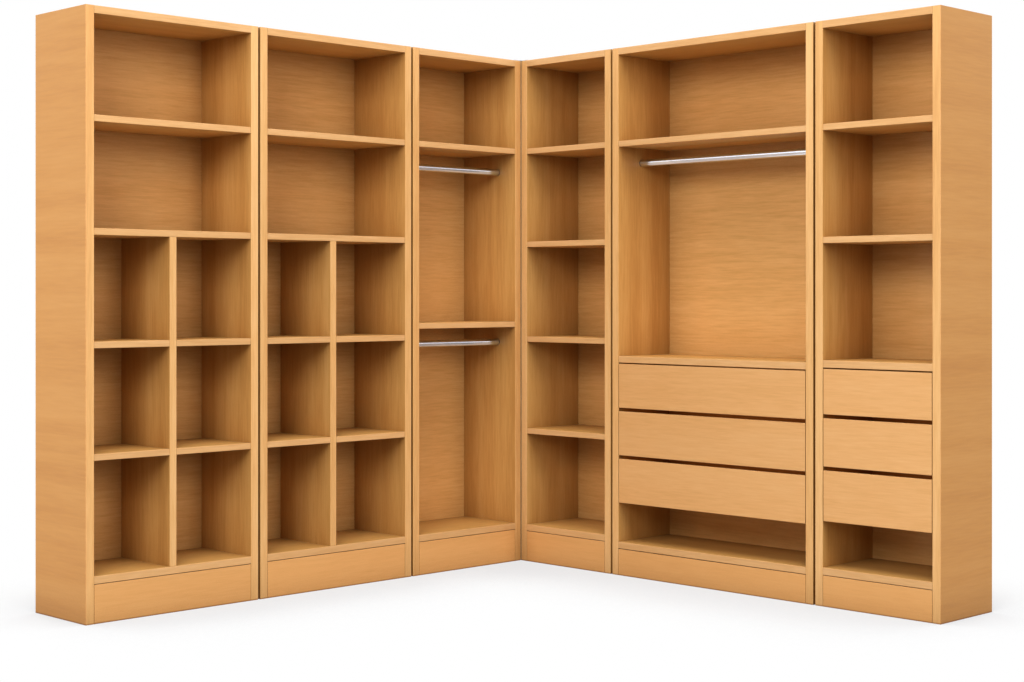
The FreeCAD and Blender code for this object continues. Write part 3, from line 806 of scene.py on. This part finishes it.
@dataclass
class Drawer:
    """One drawer: its front, its box and the sliders on its sides."""

    name: str
    edges: BoardEdges = field(default_factory=BoardEdges)
    front_edges: BoardEdges = BoardEdges(1.2 * MM)

    def dress(self) -> None:
        """Gives the front its veneer, the box its pale board and the sliders their zinc."""
        dress(f"{self.name}_front", FRONT.material(Run.RIGHT, Grain.LEVEL), self.front_edges)
        dress(f"{self.name}_box", BOX_BOARD.material(Run.RIGHT, Grain.LEVEL), self.edges)
        dress(f"{self.name}_sliders", ZINC.material())


@dataclass
class Rails:
    """The hanging rails and the plugs in their ends."""

    nodes: tuple[str, ...] = ("hanging_bay_rails", "wide_drawer_bay_rails")

    def dress(self) -> None:
        """Gives the tubes their chrome and the plugs their plastic."""
        for node in self.nodes:
            dress(node, CHROME.material())
        dress("rail_end_plugs", PLUG.material())


@dataclass
class HiddenTimbers:
    """The corner post and the blocks behind the plinths."""

    edges: BoardEdges = field(default_factory=BoardEdges)

    def dress(self) -> None:
        """Gives the post and the blocks their bare timber."""
        for node in ("corner_post", "plinth_blocks"):
            dress(node, TIMBER.material(Run.RIGHT, Grain.UPRIGHT), self.edges)


@dataclass(frozen=True)
class PanHead:
    """The head of a cross-recessed wood screw that stands on a plate."""

    radius: float = 4.2 * MM
    height: float = 2.4 * MM
    arm: float = 2.1 * MM
    arm_width: float = 0.8 * MM
    recess: float = 1.3 * MM
    sides: int = 24
    # Share of the height and of the radius, from the plate to the flat round the recess
    profile: tuple[tuple[float, float], ...] = (
        (0.0, 1.0), (0.35, 0.98), (0.68, 0.88), (0.90, 0.72), (1.0, 0.60))
    # Share of the recess's width that its floor has
    recess_floor: float = 0.7

    def cross(self, turn: float, share: float, height: float) -> list[Vector]:
        """Corner points of the recess.

        Args:
            turn: How far the screw is turned, in radians.
            share: Scale of the outline.
            height: Height above the plate.

        Returns:
            Twelve points, in order round the head.
        """
        half, reach = self.arm_width / 2 * share, self.arm * share
        quarter = [(reach, -half), (reach, half), (half, half)]
        points = []
        for place in range(4):
            spin = Matrix.Rotation(turn + place * math.pi / 2, 3, "Z")
            points += [spin @ Vector((x, y, 0)) + Vector((0, 0, height)) for x, y in quarter]
        return points

    def build(self, mesh: bmesh.types.BMesh, foot: Vector, turn: float) -> None:
        """Adds one head.

        Args:
            mesh: The mesh that takes it.
            foot: Middle of its underside.
            turn: How far it is turned, in radians.
        """
        rings = []
        for rise, share in self.profile:
            ring = []
            for place in range(self.sides):
                angle = 2 * math.pi * place / self.sides + turn
                spot = Vector((math.cos(angle), math.sin(angle), 0)) * self.radius * share
                ring.append(mesh.verts.new(foot + spot + Vector((0, 0, rise * self.height))))
            rings.append(ring)
        for share, height in ((1.0, self.height), (self.recess_floor, self.height - self.recess)):
            rings.append([mesh.verts.new(foot + point) for point in self.cross(turn, share, height)])
        mesh.faces.new(list(reversed(rings[0])))
        for low, high in zip(rings, rings[1:-2]):
            self.wall(mesh, low, high)
        self.flat(mesh, rings[-3], rings[-2])
        self.wall(mesh, rings[-2], rings[-1])
        mesh.faces.new(rings[-1])

    @staticmethod
    def wall(mesh: bmesh.types.BMesh, low: list, high: list) -> None:
        """Joins two rings of as many points."""
        for place in range(len(low)):
            after = (place + 1) % len(low)
            face = mesh.faces.new((low[place], low[after], high[after], high[place]))
            face.smooth = True

    def flat(self, mesh: bmesh.types.BMesh, ring: list, cross: list) -> None:
        """Joins the round flat to the recess: two ring points to each of its corners."""
        step = len(ring) // len(cross)
        lead = step // 2 + 1
        for place in range(len(cross)):
            after = (place + 1) % len(cross)
            start = place * step - lead
            arc = [ring[(start + extra) % len(ring)] for extra in range(step + 1)]
            mesh.faces.new([*arc, cross[after], cross[place]])


@dataclass
class ScrewSet:
    """The screws of a kind of plate: one piece that holds all their heads."""

    name: str
    feet: list[Vector]
    head: PanHead = field(default_factory=PanHead)

    # Turn from one screw to the next, in radians, by which no two heads stand alike
    TURN = 2.399963

    def build(self) -> bpy.types.Object:
        """Makes the heads, each turned its own way, and fixes them to the carcass.

        Returns:
            The new piece.
        """
        mesh = bmesh.new()
        for place, foot in enumerate(self.feet):
            self.head.build(mesh, foot, (place * self.TURN) % (math.pi / 2))
        data = bpy.data.meshes.new(self.name)
        mesh.to_mesh(data)
        mesh.free()
        data.materials.append(ZINC.material())
        piece = bpy.data.objects.new(self.name, data)
        bpy.context.scene.collection.objects.link(piece)
        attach(piece, "carcass")
        log.info("built %s with %d heads", self.name, len(self.feet))
        return piece


@dataclass
class Fixings:
    """Bolts, plates and brackets that tie the bays to each other and to the wall, with their screws."""

    plate_inset: float = 12.0 * MM
    bracket_inset: float = 13.0 * MM
    bracket_screw_line: float = 14.0 * MM
    corner_reach: float = 14.0 * MM
    corner_line: float = 17.0 * MM
    small_plate: float = 100.0 * MM

    def dress(self) -> None:
        """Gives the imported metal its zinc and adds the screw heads."""
        for node in ("joining_bolts", "joining_plates", "wall_brackets", "drawer_runner_channels"):
            dress(node, ZINC.material())
        ScrewSet("joining_plate_screws", self.plate_feet()).build()
        ScrewSet("wall_bracket_screws", self.bracket_feet()).build()

    def plate_feet(self) -> list[Vector]:
        """Where the plates' screws stand: one in each corner, and on the corner plate two along each arm."""
        feet = []
        for low, high in solids_of("joining_plates"):
            if max(high.x - low.x, high.y - low.y) > self.small_plate:
                feet += self.corner_feet(low, high)
                continue
            for x in (low.x + self.plate_inset, high.x - self.plate_inset):
                for y in (low.y + self.plate_inset, high.y - self.plate_inset):
                    feet.append(Vector((x, y, high.z)))
        return feet

    def corner_feet(self, low: Vector, high: Vector) -> list[Vector]:
        """Where the corner plate's screws stand, on the end panels that it ties."""
        feet = []
        for share in (0.0, 0.5):
            x = low.x + self.corner_reach + share * (high.x - low.x) / 2
            y = high.y - self.corner_reach - share * (high.y - low.y) / 2
            feet.append(Vector((x, low.y + self.corner_line, high.z)))
            feet.append(Vector((high.x - self.corner_line, y, high.z)))
        return feet

    def bracket_feet(self) -> list[Vector]:
        """Where the brackets' screws stand: two on each leg."""
        feet = []
        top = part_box("joining_plates")[1].z
        for low, high in solids_of("wall_brackets"):
            if high.x - low.x < high.y - low.y:
                x = high.x - self.bracket_screw_line
                ends = (low.y + self.bracket_inset, high.y - self.bracket_inset)
                feet += [Vector((x, y, top)) for y in ends]
            else:
                y = low.y + self.bracket_screw_line
                ends = (low.x + self.bracket_inset, high.x - self.bracket_inset)
                feet += [Vector((x, y, top)) for x in ends]
        return feet


@dataclass
class Lamp:
    """A soft rectangular studio lamp that looks at a point."""

    name: str
    place: Union[Triple, Vector]
    target: Union[Triple, Vector]
    width: float
    height: float
    power: float
    card: bool = False
    colour: Colour = NO_TINT

    def build(self) -> bpy.types.Object:
        """Makes the lamp and turns it to its target. A card is dim, and only shows in what mirrors it.

        Returns:
            The lamp.
        """
        data = bpy.data.lights.new(self.name, "AREA")
        data.shape = "RECTANGLE"
        data.size = self.width
        data.size_y = self.height
        data.energy = self.power
        data.color = self.colour
        lamp = bpy.data.objects.new(self.name, data)
        lamp.location = self.place
        aim = Vector(self.target) - Vector(self.place)
        lamp.rotation_euler = aim.to_track_quat("-Z", "Y").to_euler()
        lamp.visible_camera = False
        lamp.visible_diffuse = not self.card
        bpy.context.scene.collection.objects.link(lamp)
        return lamp


@dataclass
class RailCards:
    """A white card ahead of each rail and a grey one below it, which only polished metal mirrors."""

    rails: str
    run: Run
    white: float
    grey: float
    white_place: tuple[float, float] = (69.0 * MM, 20.0 * MM)
    grey_place: tuple[float, float] = (48.0 * MM, -41.0 * MM)
    white_height: float = 32.0 * MM
    grey_height: float = 113.0 * MM

    def build(self) -> None:
        """Makes both cards of each rail, as long as the rail."""
        ahead, up = Vector(self.run.value), Vector(UP)
        for place, (low, high) in enumerate(solids_of(self.rails)):
            middle, length = (low + high) / 2, max(high - low)
            for word, spot, height, bright, aim in (
                    ("white", self.white_place, self.white_height, self.white, -ahead),
                    ("grey", self.grey_place, self.grey_height, self.grey, up - ahead)):
                stand = middle + ahead * spot[0] + up * spot[1]
                power = math.pi * length * height * bright
                name = f"{self.rails}_{word}_card_{place}"
                Lamp(name, stand, stand + aim, length, height, power, card=True).build()


@dataclass
class DrawerGlow:
    """The warm light that the boards throw to each other behind a column of drawer fronts."""

    column: str
    bright: float = 0.34
    colour: Colour = (1.0, 0.50, 0.20)
    behind: float = 6.0 * MM

    def build(self) -> None:
        """Makes a dim lamp behind the fronts that looks at the back panel."""
        fronts = [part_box(f"{self.column}_{place}_drawer_front") for place in ("bottom", "top")]
        low, high = fronts[0][0], fronts[1][1]
        stand = Vector(((low.x + high.x) / 2, high.y + self.behind, (low.z + high.z) / 2))
        width, height = high.x - low.x, high.z - low.z
        power = math.pi * width * height * self.bright
        inwards = -Vector(Run.RIGHT.value)
        name = f"{self.column}_drawer_glow"
        Lamp(name, stand, stand + inwards, width, height, power, colour=self.colour).build()


@dataclass
class Studio:
    """White floor, white surroundings and soft lamps."""

    floor_half: float = 14.0
    floor_bounce: float = 0.36
    floor_shown: Colour = (0.72, 0.74, 0.76)
    # Reach of the painted shade on the floor near the object, its share against the lit floor, and its tones
    # by openness
    shade_reach: float = 0.80
    shade_share: float = 0.65
    shade_tones: tuple[tuple[float, Colour], ...] = (
        (0.20, (0.76, 0.81, 0.84)), (0.65, (0.84, 0.845, 0.855)), (0.99, NO_TINT))
    # Openness of the floor at which its shade starts to fade, and at which it is gone
    clear_range: tuple[float, float] = (0.70, 0.99)
    fade_start: float = 1.8
    fade_end: float = 2.5
    ambient: float = 0.16
    lamps: tuple[Lamp, ...] = (
        Lamp("overhead_lamp", (1.2, -1.2, 8.5), (0.1, -0.1, 0.0), 6.0, 6.0, 455.0),
        Lamp("high_lamp", (2.57, -2.57, 7.1), (0.0, 0.0, 0.4), 5.5, 5.5, 200.0),
        Lamp("key_lamp", (2.6, -5.7, 3.8), (-0.1, 0.1, 0.9), 3.0, 2.6, 191.0),
        Lamp("fill_lamp", (6.5, 0.0, 2.9), (0.0, 0.5, 1.0), 2.2, 2.5, 107.0),
        Lamp("left_end_lamp", (-2.7, -3.9, 1.1), (-1.06, -1.26, 0.95), 1.5, 2.2, 33.0),
        Lamp("right_end_lamp", (3.9, 2.7, 1.1), (1.23, 1.09, 0.95), 1.5, 2.2, 9.0),
        Lamp("left_rear_lamp", (-5.2, -0.6, 3.2), (-1.4, -0.6, 0.4), 3.0, 2.0, 126.0),
        Lamp("right_rear_lamp", (0.6, 5.2, 3.2), (0.6, 1.4, 0.4), 3.0, 2.0, 126.0))
    cards: tuple[RailCards, ...] = (
        RailCards("hanging_bay_rails", Run.LEFT, 0.95, 0.24),
        RailCards("wide_drawer_bay_rails", Run.RIGHT, 1.30, 0.42))
    glows: tuple[DrawerGlow, ...] = (DrawerGlow("wide"), DrawerGlow("end"))

    def build(self) -> None:
        """Makes the floor, the world and the lamps."""
        self.floor()
        self.world()
        for light in (*self.lamps, *self.cards, *self.glows):
            light.build()
        bpy.context.scene.view_settings.view_transform = "Standard"
        log.info("built the studio with %d lamps", len(self.lamps))

    def floor(self) -> None:
        """A pale floor that keeps the lamps' shadow mixed with painted shade near the object, and turns
        white farther off.
        """
        mesh = bpy.data.meshes.new("studio_floor")
        half = self.floor_half
        corners = [(-half, -half, 0), (half, -half, 0), (half, half, 0), (-half, half, 0)]
        mesh.from_pydata(corners, [], [(0, 1, 2, 3)])
        graph = Graph("studio_floor_white")
        seen = self.seen(graph.tree)
        lit, plain = (graph.node("ShaderNodeBsdfDiffuse") for _ in range(2))
        lit.inputs["Color"].default_value = (*self.floor_shown, 1.0)
        plain.inputs["Color"].default_value = (*(self.floor_bounce,) * 3, 1.0)
        shade, white = (graph.node("ShaderNodeEmission") for _ in range(2))
        # Painted shade: the camera sees an emission whose colour darkens with the floor's occlusion near the
        # object
        near = graph.node("ShaderNodeAmbientOcclusion", samples=8)
        near.inputs["Distance"].default_value = self.shade_reach
        graph.feed(shade.inputs["Color"], graph.ramp(near.outputs["AO"], self.shade_tones))
        reach = graph.node("ShaderNodeVectorMath", operation="LENGTH")
        graph.feed(reach.inputs[0], graph.place())
        far = graph.spread(reach.outputs["Value"], self.fade_start, self.fade_end, 0.0, 1.0)
        open_floor = graph.spread(near.outputs["AO"], *self.clear_range, 0.0, 1.0)
        clear = graph.math("MAXIMUM", far, open_floor)
        shaded = graph.mix_shaders(self.shade_share, lit, shade)
        shown = graph.mix_shaders(clear, shaded, white)
        chosen = graph.mix_shaders(seen, plain, shown)
        graph.feed(graph.output.inputs["Surface"], chosen.outputs[0])
        graph.material.cycles.emission_sampling = "NONE"
        mesh.materials.append(graph.material)
        floor = bpy.data.objects.new("studio_floor", mesh)
        bpy.context.scene.collection.objects.link(floor)

    @staticmethod
    def seen(tree: bpy.types.NodeTree) -> Socket:
        """1 for rays from the camera, in mirrors and through glass, and else 0."""
        path = tree.nodes.new("ShaderNodeLightPath")
        total = path.outputs["Is Camera Ray"]
        for name in ("Is Glossy Ray", "Is Transmission Ray"):
            most = tree.nodes.new("ShaderNodeMath")
            most.operation = "MAXIMUM"
            tree.links.new(total, most.inputs[0])
            tree.links.new(path.outputs[name], most.inputs[1])
            total = most.outputs[0]
        return total

    def world(self) -> None:
        """White to the eye, and an even soft light on the object."""
        world = bpy.data.worlds.new("studio_world")
        bpy.context.scene.world = world
        world.use_nodes = True
        tree = world.node_tree
        tree.nodes.clear()
        light, white = (tree.nodes.new("ShaderNodeBackground") for _ in range(2))
        light.inputs["Color"].default_value = (1.0, 1.0, 1.0, 1.0)
        light.inputs["Strength"].default_value = self.ambient
        white.inputs["Color"].default_value = (1.0, 1.0, 1.0, 1.0)
        chosen = tree.nodes.new("ShaderNodeMixShader")
        tree.links.new(self.seen(tree), chosen.inputs[0])
        tree.links.new(light.outputs[0], chosen.inputs[1])
        tree.links.new(white.outputs[0], chosen.inputs[2])
        output = tree.nodes.new("ShaderNodeOutputWorld")
        tree.links.new(chosen.outputs[0], output.inputs["Surface"])


@dataclass
class PhotoCamera:
    """The photograph's camera: level, a little above half height, facing the inner corner."""

    place: Triple = (4.594, -4.532, 1.1745)
    turn: float = 0.7935
    lens: float = 61.57
    shift: float = -0.0462
    sensor: float = 36.0

    def build(self) -> None:
        """Makes the camera and gives it to the scene."""
        data = bpy.data.cameras.new("photo_camera")
        data.lens = self.lens
        data.sensor_width = self.sensor
        data.sensor_fit = "HORIZONTAL"
        data.shift_y = self.shift
        camera = bpy.data.objects.new("photo_camera", data)
        camera.location = self.place
        camera.rotation_euler = (math.pi / 2, 0.0, self.turn)
        bpy.context.scene.collection.objects.link(camera)
        bpy.context.scene.camera = camera


def main() -> None:
    """Builds the scene: camera, studio, boards, drawers, rails and fixings."""
    logging.basicConfig(level=logging.INFO, format="%(name)s: %(message)s")
    PhotoCamera().build()
    Studio().build()
    left_skin = EndSkin(Axis.Y, -1.0, -CAD_BOX[0].y - SKIN_DEPTH)
    right_skin = EndSkin(Axis.X, 1.0, CAD_BOX[1].x - SKIN_DEPTH)
    bays = (
        Bay("outer_cubby_bay", Run.LEFT, divided=True, skin=left_skin),
        Bay("inner_cubby_bay", Run.LEFT, divided=True),
        Bay("hanging_bay", Run.LEFT),
        Bay("corner_shelf_bay", Run.RIGHT),
        Bay("wide_drawer_bay", Run.RIGHT),
        Bay("end_drawer_bay", Run.RIGHT, skin=right_skin))
    places = ("top", "middle", "bottom")
    drawers = [Drawer(f"{bay}_{place}_drawer") for bay in ("wide", "end") for place in places]
    run_boards = [RunBoards(run) for run in Run]
    for assembly in (*bays, *run_boards, *drawers, Rails(), HiddenTimbers(), Fixings()):
        assembly.dress()


if __name__ == "__main__":
    main()
